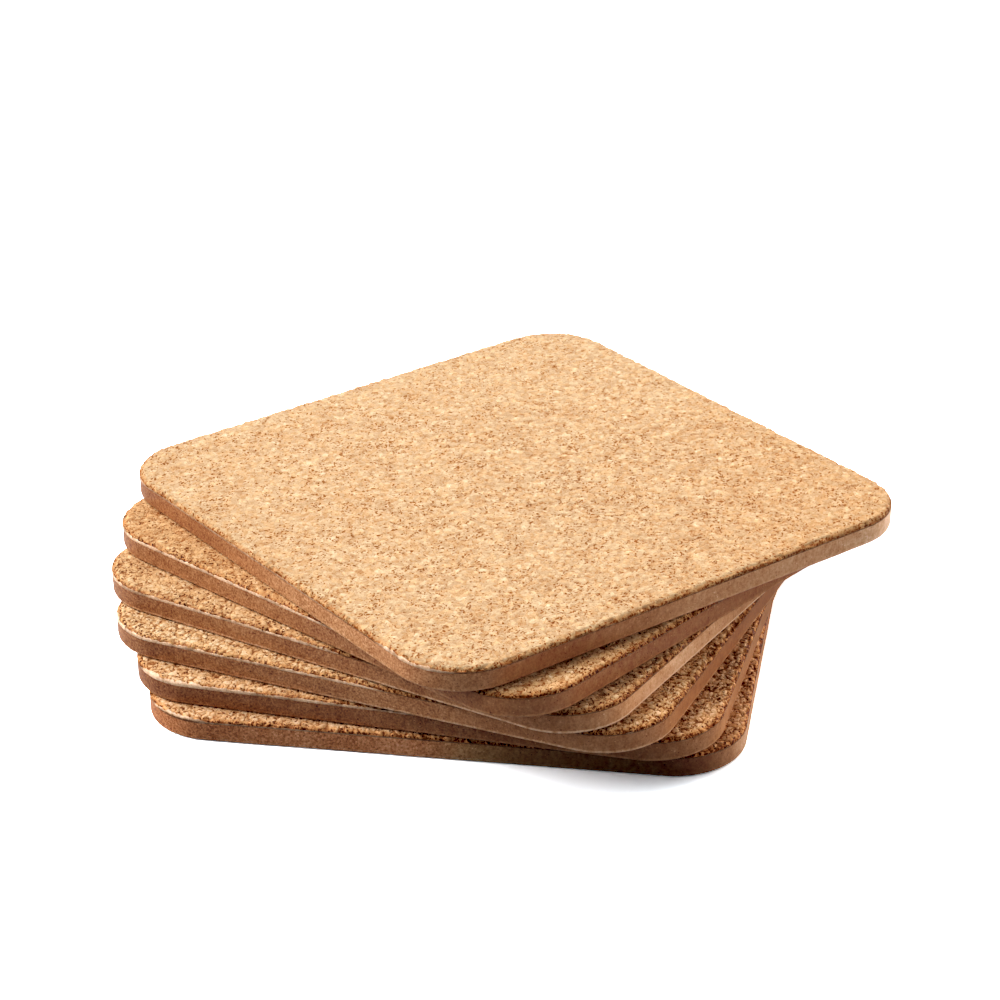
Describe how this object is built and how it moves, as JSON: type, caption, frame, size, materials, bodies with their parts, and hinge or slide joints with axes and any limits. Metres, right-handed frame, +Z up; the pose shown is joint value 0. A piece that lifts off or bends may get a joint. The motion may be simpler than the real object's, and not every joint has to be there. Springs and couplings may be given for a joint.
{
  "type": "stack of drink coasters",
  "caption": "Fanned stack of loose square drink coasters with round corners, each a wood-fibre board with a thin cork sheet bonded on top; each coaster lifts off the one below.",
  "frame": {"origin": "centre of the bottom coaster's underside, on the surface the stack stands on", "axes": "+Z up, out of the top coaster's cork face; X and Y along the sides of the bottom coaster"},
  "size_m": [0.125, 0.1248, 0.024],
  "materials": {
    "wood_fibre_board": "brown pressed wood fibre with a smooth, lacquered edge",
    "dried_adhesive": "thin pale tan film, clear and glossy where it shows at the seam",
    "agglomerated_cork": "light golden cork granules pressed together, matte, with dark pores"
  },
  "bodies": {
    "coaster_1": {"base_board_1": "wood_fibre_board", "adhesive_film_1": "dried_adhesive", "cork_sheet_1": "agglomerated_cork"},
    "coaster_2": {"base_board_2": "wood_fibre_board", "adhesive_film_2": "dried_adhesive", "cork_sheet_2": "agglomerated_cork"},
    "coaster_3": {"base_board_3": "wood_fibre_board", "adhesive_film_3": "dried_adhesive", "cork_sheet_3": "agglomerated_cork"},
    "coaster_4": {"base_board_4": "wood_fibre_board", "adhesive_film_4": "dried_adhesive", "cork_sheet_4": "agglomerated_cork"},
    "coaster_5": {"base_board_5": "wood_fibre_board", "adhesive_film_5": "dried_adhesive", "cork_sheet_5": "agglomerated_cork"},
    "coaster_6": {"base_board_6": "wood_fibre_board", "adhesive_film_6": "dried_adhesive", "cork_sheet_6": "agglomerated_cork"}
  },
  "joints": [
    {"name": "lift_coaster_2", "type": "slide", "parent": "coaster_1", "child": "coaster_2", "axis": [0, 0, 1], "range_m": [0, 0.04]},
    {"name": "lift_coaster_3", "type": "slide", "parent": "coaster_2", "child": "coaster_3", "axis": [0, 0, 1], "range_m": [0, 0.04]},
    {"name": "lift_coaster_4", "type": "slide", "parent": "coaster_3", "child": "coaster_4", "axis": [0, 0, 1], "range_m": [0, 0.04]},
    {"name": "lift_coaster_5", "type": "slide", "parent": "coaster_4", "child": "coaster_5", "axis": [0, 0, 1], "range_m": [0, 0.04]},
    {"name": "lift_coaster_6", "type": "slide", "parent": "coaster_5", "child": "coaster_6", "axis": [0, 0, 1], "range_m": [0, 0.04]}
  ]
}
